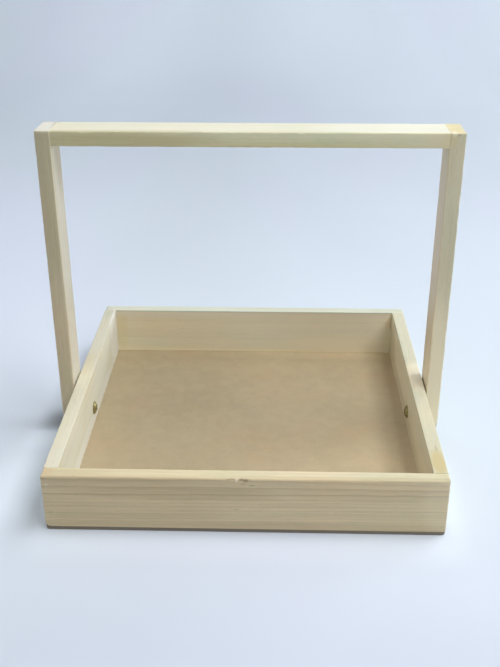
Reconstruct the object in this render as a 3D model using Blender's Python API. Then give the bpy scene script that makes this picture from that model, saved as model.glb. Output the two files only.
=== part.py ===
"""A square pine tray with a bail handle that swings on two screws.

Metres, with +Z up, +X to the right and -Y towards the front. The origin is on the surface that
the tray stands on, under the middle of the tray.
"""
import math

import bmesh
import bpy
from mathutils import Matrix, Vector

MM = 0.001

# Tray frame and floor
TRAY_WIDTH = 300 * MM
TRAY_DEPTH = 300 * MM
BOARD_HEIGHT = 45 * MM
BOARD_THICKNESS = 11 * MM
PANEL_THICKNESS = 3 * MM
PANEL_CORNER_RADIUS = 3 * MM

# Handle, whose legs clear the ground when it lies down
HANDLE_HEIGHT = 269 * MM
LEG_DEPTH = 30 * MM
LEG_THICKNESS = 12 * MM
LEG_GROUND_CLEARANCE = 2 * MM
BAR_HEIGHT = 12 * MM
BAR_SETBACK = 0.5 * MM

# Clearances between fixed pieces of wood, at the washer, round a screw and round a nail
WOOD_GAP = 0.3 * MM
WASHER_GAP = 0.15 * MM
SCREW_CLEARANCE = 0.3 * MM
NAIL_CLEARANCE = 0.2 * MM

# Sanded edges
BOARD_EASE = 0.7 * MM
LEG_EASE = 0.8 * MM
PANEL_EASE = 0.3 * MM

# Pivot screw, a pan-head wood screw with a cross recess that ends inside the leg
SCREW_RADIUS = 3 * MM
SCREW_LENGTH = 20 * MM
SCREW_POINT_LENGTH = 5 * MM
SCREW_POINT_RADIUS = 0.5 * MM
HEAD_RADIUS = 5.75 * MM
HEAD_HEIGHT = 2.8 * MM
HEAD_RIM = 0.5 * MM
RECESS_SPAN = 5.4 * MM
RECESS_WIDTH = 1.3 * MM
RECESS_DEPTH = 1.9 * MM
RECESS_FLOOR_SHARE = 0.45

# Spacer washer between the board and the leg
WASHER_RADIUS = 7.5 * MM
WASHER_THICKNESS = 1.2 * MM

# Wire nails through the corners of the tray and of the handle
NAIL_RADIUS = 0.75 * MM
NAIL_LENGTH = 30 * MM
NAIL_HEAD_RADIUS = 1.3 * MM
NAIL_HEAD_HEIGHT = 0.8 * MM
NAIL_POINT = 1.5 * MM
NAIL_SINK = 0.2 * MM
CORNER_NAIL_INSET = 8 * MM
HANDLE_NAIL_INSET = 8 * MM

# Tacks through the floor panel
TACK_RADIUS = 0.6 * MM
TACK_LENGTH = 15 * MM
TACK_HEAD_RADIUS = 1.4 * MM
TACK_HEAD_HEIGHT = 0.5 * MM
TACK_POINT = 1.2 * MM
END_ROW_INSET = 25 * MM
END_ROW_TACKS = 4
SIDE_ROW_CLEAR_OF_NAILS = 10 * MM
SIDE_ROW_CLEAR_OF_PIVOT = 37 * MM
SIDE_ROW_TACKS_EACH_WAY = 2

# How far a cutter runs past what it cuts
OVERRUN = 2 * MM

# Facets and shading
ROUND_SIDES = 28
NAIL_SIDES = 8
LEG_END_STEPS = 20
DOME_STEPS = 4
EASE_STEPS = 2
CORNER_STEPS = 4
SMOOTH_ANGLE = math.radians(35)

# Places worked out from the sizes above
PIVOT_HEIGHT = LEG_DEPTH / 2 + LEG_GROUND_CLEARANCE
BOARD_BOTTOM = PANEL_THICKNESS + WOOD_GAP
BOARD_MIDDLE = BOARD_BOTTOM + BOARD_HEIGHT / 2
SIDE_BOARD_LENGTH = TRAY_DEPTH - 2 * (BOARD_THICKNESS + WOOD_GAP)
END_BOARD_Y = (TRAY_DEPTH - BOARD_THICKNESS) / 2
SIDE_BOARD_X = (TRAY_WIDTH - BOARD_THICKNESS) / 2
LEG_GAP = WASHER_THICKNESS + 2 * WASHER_GAP
LEG_INNER_X = TRAY_WIDTH / 2 + LEG_GAP
LEG_X = LEG_INNER_X + LEG_THICKNESS / 2
LEG_OUTER_X = LEG_INNER_X + LEG_THICKNESS
BAR_ABOVE_PIVOT = HANDLE_HEIGHT - BAR_HEIGHT / 2 - PIVOT_HEIGHT
BAR_LENGTH = 2 * (LEG_INNER_X - WOOD_GAP)
BAR_DEPTH = LEG_DEPTH - 2 * BAR_SETBACK
SCREW_SEAT_X = TRAY_WIDTH / 2 - BOARD_THICKNESS - WASHER_GAP
SPACER_X = TRAY_WIDTH / 2 + WASHER_GAP
SCREW_POINT_START = SCREW_LENGTH - SCREW_POINT_LENGTH

# Colour, roughness and metal of each finish
FINISHES = {
    "pine": ((0.72, 0.62, 0.42), 0.62, 0.0),
    "hardboard": ((0.46, 0.34, 0.21), 0.75, 0.0),
    "yellow_zinc": ((0.55, 0.45, 0.16), 0.35, 1.0),
    "bright_steel": ((0.55, 0.55, 0.54), 0.40, 1.0),
}


def clear_scene():
    for obj in list(bpy.data.objects):
        bpy.data.objects.remove(obj)


def make_materials():
    made = {}
    for name, (colour, roughness, metallic) in FINISHES.items():
        material = bpy.data.materials.new(name)
        material.use_nodes = True
        shader = material.node_tree.nodes["Principled BSDF"]
        shader.inputs["Base Color"].default_value = (*colour, 1.0)
        shader.inputs["Roughness"].default_value = roughness
        shader.inputs["Metallic"].default_value = metallic
        made[name] = material
    return made


def add_object(name, bm, material=None, matrix=None, parent=None):
    """Makes a named object from a bmesh, with its faces pointing out."""
    bmesh.ops.recalc_face_normals(bm, faces=bm.faces)
    mesh = bpy.data.meshes.new(name)
    bm.to_mesh(mesh)
    bm.free()
    if material:
        mesh.materials.append(material)
    obj = bpy.data.objects.new(name, mesh)
    obj.parent = parent
    obj.matrix_local = matrix or Matrix.Identity(4)
    bpy.context.scene.collection.objects.link(obj)
    return obj


def add_cutter(name, bm, matrix=None, parent=None):
    cutter = add_object(name, bm, None, matrix, parent)
    cutter.hide_render = True
    cutter.display_type = "WIRE"
    return cutter


def box(width, depth, height):
    """A box about the origin."""
    bm = bmesh.new()
    bmesh.ops.create_cube(bm, size=1)
    bmesh.ops.scale(bm, vec=(width, depth, height), verts=bm.verts)
    return bm


def turned(profile, sides, placings=(Matrix.Identity(4),), closed=False):
    """Sweeps (radius, height) points round the Z axis, once for each placing.

    A point on the axis is one vertex. A closed profile joins its last point to its first.
    """
    bm = bmesh.new()
    angles = [2 * math.pi * i / sides for i in range(sides)]
    for placing in placings:
        rings = []
        for radius, height in profile:
            if radius == 0:
                rings.append([bm.verts.new(placing @ Vector((0, 0, height)))] * sides)
                continue
            points = [Vector((radius * math.cos(a), radius * math.sin(a), height)) for a in angles]
            rings.append([bm.verts.new(placing @ point) for point in points])
        followers = rings[1:] + rings[:1] if closed else rings[1:]
        for ring, follower in zip(rings, followers):
            for i in range(sides):
                j = (i + 1) % sides
                corners = dict.fromkeys((ring[i], ring[j], follower[j], follower[i]))
                bm.faces.new(list(corners))
    return bm


def aimed(place, direction):
    """A placing that stands +Z along a direction at a place."""
    turn = Vector((0, 0, 1)).rotation_difference(Vector(direction))
    return Matrix.Translation(place) @ turn.to_matrix().to_4x4()


def ease(obj, width):
    """Rounds the sharp edges of a piece, as sanding does."""
    bevel = obj.modifiers.new("ease", "BEVEL")
    bevel.width = width
    bevel.segments = EASE_STEPS
    bevel.limit_method = "ANGLE"
    bevel.use_clamp_overlap = True


def cut(obj, cutter, operation="DIFFERENCE"):
    boolean = obj.modifiers.new(cutter.name, "BOOLEAN")
    boolean.operation = operation
    boolean.object = cutter


def smooth(obj):
    """Shades round faces smooth and leaves the corners sharp."""
    obj.data.shade_smooth()
    obj.data.set_sharp_from_angle(angle=SMOOTH_ANGLE)


def nail_profile(radius, length, head_radius, head_height, point):
    """The outline of a nail driven along +Z, with its head a little under the surface at zero."""
    return [
        (0, NAIL_SINK),
        (head_radius, NAIL_SINK),
        (head_radius, NAIL_SINK + head_height),
        (radius, NAIL_SINK + head_height),
        (radius, NAIL_SINK + length - point),
        (0, NAIL_SINK + length),
    ]


def nail_hole_profile(radius, length, head_radius, head_height):
    """The outline of the hole that such a nail sits in."""
    seat = NAIL_SINK + head_height + NAIL_CLEARANCE
    end = NAIL_SINK + length + NAIL_CLEARANCE
    return [
        (0, -OVERRUN),
        (head_radius + NAIL_CLEARANCE, -OVERRUN),
        (head_radius + NAIL_CLEARANCE, seat),
        (radius + NAIL_CLEARANCE, seat),
        (radius + NAIL_CLEARANCE, end),
        (0, end),
    ]


def drive(names, places, direction, sizes, point, joined, steel, parent=None):
    """Nails of one size, each its own piece, and their holes in the pieces that they join."""
    placings = [aimed(place, direction) for place in places]
    for name, placing in zip(names, placings):
        nail = turned(nail_profile(*sizes, point), NAIL_SIDES)
        smooth(add_object(name, nail, steel, placing, parent))
    holes = turned(nail_hole_profile(*sizes), NAIL_SIDES, placings)
    cutter = add_cutter(names[0] + "_and_like_holes", holes, parent=parent)
    for piece in joined:
        cut(piece, cutter)


def nails(names, places, direction, joined, steel, parent=None):
    sizes = (NAIL_RADIUS, NAIL_LENGTH, NAIL_HEAD_RADIUS, NAIL_HEAD_HEIGHT)
    drive(names, places, direction, sizes, NAIL_POINT, joined, steel, parent)


def tacks(row, places, joined, steel):
    """A row of tacks driven up through the floor panel."""
    sizes = (TACK_RADIUS, TACK_LENGTH, TACK_HEAD_RADIUS, TACK_HEAD_HEIGHT)
    names = [f"panel_tack_{row}_{i + 1}" for i in range(len(places))]
    drive(names, places, (0, 0, 1), sizes, TACK_POINT, joined, steel)


def spread(start, end, count):
    """Even places from start to end."""
    if count == 1:
        return [(start + end) / 2]
    return [start + (end - start) * i / (count - 1) for i in range(count)]


def tray_boards(pine):
    """The four boards of the frame. The front and back run the full width over the sides' ends."""
    boards = {}
    for name, side in (("front_board", -1), ("back_board", 1)):
        bm = box(TRAY_WIDTH, BOARD_THICKNESS, BOARD_HEIGHT)
        place = Matrix.Translation((0, side * END_BOARD_Y, BOARD_MIDDLE))
        boards[name] = add_object(name, bm, pine, place)
    for name, side in (("left_side_board", -1), ("right_side_board", 1)):
        bm = box(BOARD_THICKNESS, SIDE_BOARD_LENGTH, BOARD_HEIGHT)
        place = Matrix.Translation((side * SIDE_BOARD_X, 0, BOARD_MIDDLE))
        boards[name] = add_object(name, bm, pine, place)
    for board in boards.values():
        ease(board, BOARD_EASE)
    return boards


def bottom_panel(hardboard):
    """The floor, a thin sheet under the whole frame with rounded corners."""
    bm = box(TRAY_WIDTH, TRAY_DEPTH, PANEL_THICKNESS)
    corners = [e for e in bm.edges if e.verts[0].co.xy == e.verts[1].co.xy]
    bmesh.ops.bevel(bm, geom=corners, offset=PANEL_CORNER_RADIUS, segments=CORNER_STEPS,
                    profile=0.5, affect="EDGES")
    place = Matrix.Translation((0, 0, PANEL_THICKNESS / 2))
    panel = add_object("bottom_panel", bm, hardboard, place)
    ease(panel, PANEL_EASE)
    return panel


def corner_nails(boards, steel):
    """Two nails at each corner, through the front or back board into the side board's end."""
    levels = (("lower", BOARD_BOTTOM + CORNER_NAIL_INSET),
              ("upper", BOARD_BOTTOM + BOARD_HEIGHT - CORNER_NAIL_INSET))
    for end, way in (("front", -1), ("back", 1)):
        for side, x_way in (("left", -1), ("right", 1)):
            names = [f"corner_nail_{end}_{side}_{level}" for level, _ in levels]
            places = [(x_way * SIDE_BOARD_X, way * TRAY_DEPTH / 2, z) for _, z in levels]
            joined = (boards[end + "_board"], boards[side + "_side_board"])
            nails(names, places, (0, -way, 0), joined, steel)


def panel_tacks(boards, panel, steel):
    """A row of tacks under each board, clear of the corner nails and of the pivot screws."""
    reach = TRAY_WIDTH / 2 - END_ROW_INSET
    for name, way in (("front", -1), ("back", 1)):
        places = [(x, way * END_BOARD_Y, 0) for x in spread(-reach, reach, END_ROW_TACKS)]
        tacks(name, places, (panel, boards[name + "_board"]), steel)
    far = TRAY_DEPTH / 2 - NAIL_SINK - NAIL_LENGTH - SIDE_ROW_CLEAR_OF_NAILS
    half_row = spread(SIDE_ROW_CLEAR_OF_PIVOT, far, SIDE_ROW_TACKS_EACH_WAY)
    for name, way in (("left", -1), ("right", 1)):
        rows = [-y for y in reversed(half_row)] + half_row
        places = [(way * SIDE_BOARD_X, y, 0) for y in rows]
        tacks(name, places, (panel, boards[name + "_side_board"]), steel)


def handle_leg(name, way, pine, pivot):
    """An upright with a square top and a lower end rounded about the pivot."""
    half = LEG_DEPTH / 2
    top = HANDLE_HEIGHT - PIVOT_HEIGHT
    turns = [math.pi + math.pi * i / LEG_END_STEPS for i in range(LEG_END_STEPS + 1)]
    outline = [(half * math.cos(a), half * math.sin(a)) for a in turns]
    outline += [(half, top), (-half, top)]
    bm = bmesh.new()
    face = bm.faces.new([bm.verts.new((-LEG_THICKNESS / 2, y, z)) for y, z in outline])
    pushed = bmesh.ops.extrude_face_region(bm, geom=[face])["geom"]
    moved = [v for v in pushed if isinstance(v, bmesh.types.BMVert)]
    bmesh.ops.translate(bm, vec=(LEG_THICKNESS, 0, 0), verts=moved)
    leg = add_object(name, bm, pine, Matrix.Translation((way * LEG_X, 0, 0)), pivot)
    ease(leg, LEG_EASE)
    smooth(leg)
    return leg


def crossbar(pine, pivot):
    """The grip, held between the tops of the two legs."""
    bm = box(BAR_LENGTH, BAR_DEPTH, BAR_HEIGHT)
    bar = add_object("crossbar", bm, pine, Matrix.Translation((0, 0, BAR_ABOVE_PIVOT)), pivot)
    ease(bar, LEG_EASE)
    return bar


def handle_nails(name, way, leg, bar, pivot, steel):
    """Two nails through the top of a leg into the crossbar's end."""
    y = BAR_DEPTH / 2 - HANDLE_NAIL_INSET
    names = [f"handle_nail_{name}_{end}" for end in ("front", "back")]
    places = [(way * LEG_OUTER_X, row, BAR_ABOVE_PIVOT) for row in (-y, y)]
    nails(names, places, (-way, 0, 0), (leg, bar), steel, pivot)


def screw_profile():
    """The outline of the pivot screw, from the top of its dome to its tip, with its seat at zero."""
    dome = HEAD_HEIGHT - HEAD_RIM
    dome_radius = (HEAD_RADIUS ** 2 + dome ** 2) / (2 * dome)
    sweep = math.asin(HEAD_RADIUS / dome_radius)
    centre = dome_radius - HEAD_HEIGHT
    turns = [sweep * i / DOME_STEPS for i in range(1, DOME_STEPS + 1)]
    points = [(dome_radius * math.sin(a), centre - dome_radius * math.cos(a)) for a in turns]
    return [(0, -HEAD_HEIGHT)] + points + [
        (HEAD_RADIUS, 0),
        (SCREW_RADIUS, 0),
        (SCREW_RADIUS, SCREW_POINT_START),
        (SCREW_POINT_RADIUS, SCREW_LENGTH),
        (0, SCREW_LENGTH),
    ]


def screw_hole_profile():
    """The outline of the hole that the screw fills, from the head's seat to past its point."""
    return [
        (0, -OVERRUN),
        (SCREW_RADIUS + SCREW_CLEARANCE, -OVERRUN),
        (SCREW_RADIUS + SCREW_CLEARANCE, SCREW_POINT_START),
        (SCREW_POINT_RADIUS + SCREW_CLEARANCE, SCREW_LENGTH + SCREW_CLEARANCE),
        (0, SCREW_LENGTH + SCREW_CLEARANCE),
    ]


def recess():
    """A cross-shaped cutter that narrows as it goes into the screw's head."""
    reach, half = RECESS_SPAN / 2, RECESS_WIDTH / 2
    outline = []
    for quarter in range(4):
        turn = Matrix.Rotation(quarter * math.pi / 2, 2)
        outline += [turn @ Vector(point) for point in ((reach, -half), (reach, half), (half, half))]
    floor_z = RECESS_DEPTH - HEAD_HEIGHT
    bm = bmesh.new()
    mouth = [bm.verts.new((x, y, -HEAD_HEIGHT - OVERRUN)) for x, y in outline]
    floor = [bm.verts.new((*(point * RECESS_FLOOR_SHARE), floor_z)) for point in outline]
    bm.faces.new(mouth)
    bm.faces.new(floor)
    for i in range(len(outline)):
        j = (i + 1) % len(outline)
        bm.faces.new((mouth[i], mouth[j], floor[j], floor[i]))
    return bm


def flat_washer(name, placing, zinc, parent):
    inner = SCREW_RADIUS + SCREW_CLEARANCE
    profile = [
        (inner, 0),
        (WASHER_RADIUS, 0),
        (WASHER_RADIUS, WASHER_THICKNESS),
        (inner, WASHER_THICKNESS),
    ]
    smooth(add_object(name, turned(profile, ROUND_SIDES, closed=True), zinc, placing, parent))


def pivot_screw(name, way, board, leg, pivot, zinc):
    """The screw that one leg swings on, its washer, and its hole through the board into the leg."""
    def at(x):
        return aimed((way * x, 0, 0), (way, 0, 0))

    profile = turned(screw_profile(), ROUND_SIDES)
    screw = add_object(f"pivot_screw_{name}", profile, zinc, at(SCREW_SEAT_X), pivot)
    smooth(screw)
    cut(screw, add_cutter(f"screw_recess_{name}", recess(), at(SCREW_SEAT_X), pivot))
    flat_washer(f"spacer_washer_{name}", at(SPACER_X), zinc, pivot)
    hole = turned(screw_hole_profile(), ROUND_SIDES)
    cutter = add_cutter(f"screw_hole_{name}", hole, at(SCREW_SEAT_X), pivot)
    cut(board, cutter)
    cut(leg, cutter)


def build():
    clear_scene()
    finishes = make_materials()
    pine, steel = finishes["pine"], finishes["bright_steel"]
    boards = tray_boards(pine)
    panel = bottom_panel(finishes["hardboard"])
    corner_nails(boards, steel)
    panel_tacks(boards, panel, steel)
    pivot = bpy.data.objects.new("handle_pivot", None)
    pivot.location = (0, 0, PIVOT_HEIGHT)
    bpy.context.scene.collection.objects.link(pivot)
    bar = crossbar(pine, pivot)
    for name, way in (("left", -1), ("right", 1)):
        leg = handle_leg(name + "_leg", way, pine, pivot)
        handle_nails(name, way, leg, bar, pivot, steel)
        board = boards[name + "_side_board"]
        pivot_screw(name, way, board, leg, pivot, finishes["yellow_zinc"])


build()
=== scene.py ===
"""The looks of a square pine tray with a bail handle, set in a plain studio.

The script is laid out as an add-on and run as a script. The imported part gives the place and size
of every piece. Metres, with +Z up and -Y towards the front. A plank is worked out in a frame of
its own: a and b run over its face, and t goes through its thickness.
"""
import math

import bpy
import numpy as np
from bpy.props import FloatProperty, FloatVectorProperty, PointerProperty
from bpy.types import Operator, Panel, PropertyGroup
from mathutils import Matrix, Vector


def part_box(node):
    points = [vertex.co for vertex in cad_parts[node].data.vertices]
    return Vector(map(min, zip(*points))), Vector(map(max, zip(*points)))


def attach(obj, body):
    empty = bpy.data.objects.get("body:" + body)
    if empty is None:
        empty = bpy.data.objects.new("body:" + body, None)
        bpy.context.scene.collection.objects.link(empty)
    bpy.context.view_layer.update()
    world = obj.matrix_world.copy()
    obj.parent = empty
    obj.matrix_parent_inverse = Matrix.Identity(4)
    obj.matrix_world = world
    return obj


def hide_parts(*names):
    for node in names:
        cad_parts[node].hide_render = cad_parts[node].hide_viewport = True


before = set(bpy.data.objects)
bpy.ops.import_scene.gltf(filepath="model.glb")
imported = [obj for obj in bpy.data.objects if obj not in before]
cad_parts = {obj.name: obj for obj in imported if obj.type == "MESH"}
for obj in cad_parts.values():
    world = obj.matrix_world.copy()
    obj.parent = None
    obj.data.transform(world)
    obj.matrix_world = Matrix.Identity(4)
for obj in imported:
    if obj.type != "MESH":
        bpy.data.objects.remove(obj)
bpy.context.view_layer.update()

bl_info = {
    "name": "Pine Tray",
    "version": (1, 0, 0),
    "blender": (4, 5, 0),
    "location": "3D View > Sidebar > Pine Tray",
    "description": "Builds the boards, handle, hardware and studio of a pine tray",
    "category": "Object",
}

MM = 0.001

# Ways that a plank can lie: the world axes of its length, its width and its thickness
ACROSS_THE_FRONT = np.array([[1, 0, 0], [0, 0, 1], [0, -1, 0]], float)
ALONG_A_SIDE = np.array([[0, 1, 0], [0, 0, 1], [1, 0, 0]], float)
LYING_FLAT = np.array([[1, 0, 0], [0, 1, 0], [0, 0, 1]], float)

# Turns that bring a plank's grain onto the X axis of its wood pattern
GRAIN_ALONG_X = (0, 0, 0)
GRAIN_ALONG_Y = (0, 0, -math.pi / 2)
GRAIN_ALONG_Z = (0, math.pi / 2, 0)

# Mesh fineness
EDGE_STEPS = 6
RIM_ROWS = 9
RING_CELLS = 4
THREAD_ROWS_PER_TURN = 6
ROUND_SIDES = 96
CORE_FADE = 0.35
EASE_BLEND = 0.15 * MM
EASE_SHARPNESS = 6.0
SMOOTH_ANGLE = math.radians(38)
TINY = 1e-9

# Lamps: name, place, size, power in watts and colour. They all look at one place on the tray
WHITE = (1.0, 1.0, 1.0)
LAMPS = (
    ("key_lamp", (0.86, 0.0, 1.9), (3.0, 0.9), 27.6, WHITE),
    ("short_key_lamp", (0.84, 0.0, 1.86), (0.7, 0.9), 9.7, WHITE),
    ("overhead_lamp", (-0.15, 0.0, 1.9), (3.0, 0.35), 8.0, WHITE),
    ("window_lamp", (1.7, 1.0, 0.3), (1.0, 0.4), 14.4, WHITE),
    ("front_lamp", (1.0, -1.5, 1.4), (0.8, 0.6), 6.2, (1.0, 1.0, 0.97)),
)
LAMPS_AIM = (0, 0, 0.08)

# Widest rounding that the close lines at a plank's rim have to carry, and how far from an edge its
# wear can reach
WIDEST_EASE = 1.5 * MM
EDGE_REACH = 2.5 * WIDEST_EASE

# How far the close lines round a hole or a seat go on outside it, and where they stand on that way
SKIRT = 2.5 * MM
SKIRT_SHARES = (0.1, 0.3, 0.6, 1.0)

# Share of a leg's rounded end in which the lines stay square
LEG_CORE = 0.45

# How far a piece goes on to close a glued or nailed joint
GLUE_LINE = 0.32 * MM

# Width on the face of the steep walls of a hole and of a screw's recess
WALL = 0.05 * MM
RECESS_WALL = 0.08 * MM

# How much a recess's floor rises towards the ends of its arms, and over how much of the head the
# square lines turn into circles
RECESS_RISE = 0.55
HEAD_FADE = 0.55

TACK_SEAT_DEPTH = 0.6 * MM
WASHER_EASE = 0.25 * MM

# How far noise shifts the growth lines, in ring widths, and how ragged the rims of spots are
RING_WAVER = 0.22
SPOT_RAG = 0.4

# Growth lines that the front board shows: each one's height above the table in mm at the board's
# left end, and how dark it is
FRONT_LINES = (
    (2.0, 0.2), (6.0, 0.25), (9.0, 0.3), (11.6, 0.45), (13.8, 0.4), (15.9, 0.4), (18.6, 0.35),
    (22.7, 0.75), (25.4, 0.55), (28.6, 0.4), (33.3, 1.0), (39.8, 0.95), (46.3, 0.8), (54.0, 0.6),
)

# Where those lines rise to the right, where they close up and where they grow faint, and how far
# they bend down behind the board's face
LINES_RISE = 2.4 * MM
LINES_RISE_FROM = -136 * MM
LINES_RISE_TO = 130 * MM
LINES_CLOSE_ABOVE = 33.3 * MM
LINES_CLOSE_FROM = -60 * MM
LINES_CLOSE_OVER = 190 * MM
LINES_CLOSE_SHARE = 0.41
LINES_FADE_FROM = 46.9 * MM
LINES_FADE_OVER = 1.2 * MM
LINES_FADE_SHARE = 0.62
LINES_CURL = 40.0

# The splintered place and two shallow dents in the front board's upper edge: middle, reach and
# depth in mm, and the way in
FRONT_CHIPS = (
    ((-14.0, -150.0, 48.3), (6.5, 1.6, 1.2), 0.55, (0, 0.6, -0.8)),
    ((-8.6, -150.0, 48.3), (3.2, 2.2, 1.5), 0.95, (0, 0.7, -0.7)),
    ((-2.2, -150.0, 48.0), (2.8, 2.0, 2.2), 1.20, (0, 0.7, -0.7)),
    ((1.4, -150.0, 46.6), (2.6, 1.4, 1.4), 0.80, (0, 1.0, 0.0)),
    ((-126.0, -150.0, 48.3), (9.0, 1.2, 1.2), 0.30, (0, 0.7, -0.7)),
    ((71.0, -150.0, 48.3), (7.0, 1.2, 1.2), 0.25, (0, 0.7, -0.7)),
)

# Zones of painted shade and light on the floor: darker towards the back and the back left, and paler along
# the back and right boards and towards the right front. A zone is a number to add, and the slopes that
# bound it: an axis, where the slope starts and where it is full. Zones in a group add up, and the groups'
# totals multiply
FLOOR_PAINTED_LIGHT_AND_SHADE = (
    ((-0.07, ("Y", 0.03, 0.10)),),
    ((-0.08, ("X", 0.03, -0.06), ("Y", -0.03, 0.04)),),
    ((0.13, ("Y", 0.119, 0.136)), (0.13, ("Y", 0.119, 0.136), ("X", -0.05, 0.07)),
     (0.15, ("X", 0.119, 0.132))),
    ((0.10, ("X", 0.01, 0.11), ("Y", 0.03, -0.07)),),
    ((0.09, ("X", -0.05, 0.02), ("Y", -0.02, -0.08)),),
)

# Zones of painted light and shade on the paper, which all add up: paler to the left and back left, darker
# and paler bands far off, darker far in front, paler in front of the tray and beside it, and a painted
# shadow beside the left leg with painted light round it
PAPER_PAINTED_LIGHT_AND_SHADE = (
    (0.08, ("X", -0.05, -0.35)), (0.08, ("X", 0.0, -0.6), ("Y", 0.7, 1.7)),
    (-0.07, ("Y", 0.15, 0.6), ("Y", 1.8, 1.2)), (0.07, ("Y", 1.2, 1.9)),
    (-0.05, ("Y", 0.5, 0.9), ("Y", 1.35, 1.0)), (-0.07, ("Y", -0.20, -0.28)),
    (0.13, ("Y", -0.195, -0.160), ("Y", 0.0, -0.1), ("X", 0.175, 0.145), ("X", -0.175, -0.145)),
    (0.09, ("X", -0.235, -0.185), ("X", -0.12, -0.16), ("Y", -0.008, -0.04), ("Y", -0.17, -0.12)),
    (-0.50, ("X", -0.195, -0.169), ("X", -0.12, -0.16), ("Y", -0.015, 0.002), ("Y", 0.035, 0.009)),
    (0.20, ("X", -0.205, -0.180), ("X", -0.12, -0.16), ("Y", -0.006, -0.016), ("Y", -0.050, -0.022)),
)

# The paper: its front edge, where its bend starts, the bend's radius, its top and half its width
SHEET_FRONT = -3.0
BEND_FROM = 1.3
BEND_RADIUS = 0.8
SHEET_TOP = 3.0
SHEET_HALF = 3.0


def smooth_step(share):
    """Eases from 0 to 1 as its share goes from 0 to 1: three squares less two cubes."""
    share = np.clip(share, 0, 1)
    return share * share * (3 - 2 * share)


def bell(distance):
    """A bell curve of a distance that is measured in reaches."""
    return np.exp(-distance ** 2)


def wave(along, longest, seed):
    """A slow uneven wave between -1 and 1: five sines, each shorter and weaker, at seeded phases."""
    phases = np.random.default_rng(seed).uniform(0, 2 * np.pi, 5)
    total = np.zeros_like(along)
    for i, phase in enumerate(phases):
        total = total + np.sin(2 * np.pi * along * 1.73 ** i / longest + phase) / (1 + i)
    return total / 2.3


def dings(along, reach, seed, count):
    """A few bells at seeded places over a reach on both sides of zero."""
    chance = np.random.default_rng(seed)
    places = chance.uniform(-reach, reach, count)
    widths = chance.uniform(1.2 * MM, 4 * MM, count)
    depths = chance.uniform(0.3, 1.0, count)
    shape = (count,) + (1,) * along.ndim
    each = bell((along[None] - places.reshape(shape)) / widths.reshape(shape))
    return (each * depths.reshape(shape)).sum(0)


# Grid lines and the shape of a plank's face


def ring_lines(centre, radius):
    """Lines through a round feature: even cells from its middle to its wall, then a skirt."""
    inner = (radius - WALL) * np.linspace(0, 1, RING_CELLS + 1)
    reach = np.concatenate([inner, [radius], radius + SKIRT * np.array(SKIRT_SHARES)])
    return centre + np.concatenate([-reach[::-1], reach[1:]])


def grid_lines(half, step, features):
    """Lines from -half to half: bunched at both ends as the cosine of an even angle, with each
    feature's own lines in its place and even steps in between."""
    band = 1.4 * WIDEST_EASE
    bunched = band * (1 - np.cos(np.linspace(0, np.pi / 2, EDGE_STEPS + 1)))
    even = np.linspace(band - half, half - band, max(3, round(2 * (half - band) / step) + 1))[1:-1]
    for lines in features:
        margin = 0.3 * step
        even = even[(even < lines.min() - margin) | (even > lines.max() + margin)]
    places = np.concatenate([bunched - half, even, half - bunched, *features])
    return np.unique(np.round(places, 8))


def square_size(u, v):
    """Half the side of the square about zero that each point is on."""
    return np.maximum(abs(u), abs(v))


def to_circles(u, v, share):
    """Turns squares of points about zero into circles, as far as a share says."""
    scale = 1 + share * (square_size(u, v) / np.maximum(np.hypot(u, v), TINY) - 1)
    return u * scale, v * scale


def round_feature(a, b, centre, radius):
    """Turns the squares of lines round a feature into circles, and fades out over the skirt."""
    u, v = a - centre[0], b - centre[1]
    fade = smooth_step((radius + SKIRT - square_size(u, v)) / (SKIRT * (1 - SKIRT_SHARES[0])))
    u, v = to_circles(u, v, fade)
    return centre[0] + u, centre[1] + v


def round_corner(a, b, half, radius, sides, core_share):
    """Turns the squares of lines in one corner into quarter circles about the corner's centre.

    Inside the core, a share of the radius, the lines stay square."""
    inner_a, inner_b = half[0] - radius, half[1] - radius
    u = np.maximum(sides[0] * a - inner_a, 0)
    v = np.maximum(sides[1] * b - inner_b, 0)
    fade = smooth_step((square_size(u, v) / radius - core_share) / max(CORE_FADE * core_share, TINY))
    u, v = to_circles(u, v, fade)
    a = sides[0] * (np.minimum(sides[0] * a, inner_a) + u)
    b = sides[1] * (np.minimum(sides[1] * b, inner_b) + v)
    return a, b


def nearest_ease(gaps, eases):
    """The ease of the nearest side, blended where two sides are about as near."""
    weights = (gaps + EASE_BLEND) ** -EASE_SHARPNESS
    return (weights * eases).sum(0) / weights.sum(0)


def eased(gap, ease, half):
    """Height over the middle plane: flat, then a quarter round of the ease's radius at the rim."""
    inside = np.minimum(gap, ease)
    return half - ease + np.sqrt(np.maximum(ease ** 2 - (ease - inside) ** 2, 0))


def border(rows, columns):
    """Indices of a grid's border, anticlockwise from its low corner."""
    i, j = np.arange(rows), np.arange(columns)
    return np.concatenate([i[:-1] * columns, (rows - 1) * columns + j[:-1],
                           i[:0:-1] * columns + columns - 1, j[:0:-1]])


def grid_quads(rows, columns):
    """The cells of a grid of points, each as its four corners' indices."""
    index = np.arange(rows * columns).reshape(rows, columns)
    return np.stack([index[:-1, :-1], index[1:, :-1], index[1:, 1:], index[:-1, 1:]], -1)


def strips(rows, reverse=False):
    """Quads between rows of indices, each of which closes on itself."""
    rows = np.array(rows)
    here, there = rows[:-1], rows[1:]
    quads = np.stack([here, there, np.roll(there, -1, 1), np.roll(here, -1, 1)], -1)
    quads = quads.reshape(-1, 4)
    return quads[:, ::-1] if reverse else quads


def rows_between(upper, lower, count):
    """Rows of points that go evenly from an upper row to a lower one, without the two."""
    shares = np.linspace(0, 1, count + 2)[1:-1, None, None]
    return upper[None] * (1 - shares) + lower[None] * shares


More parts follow.
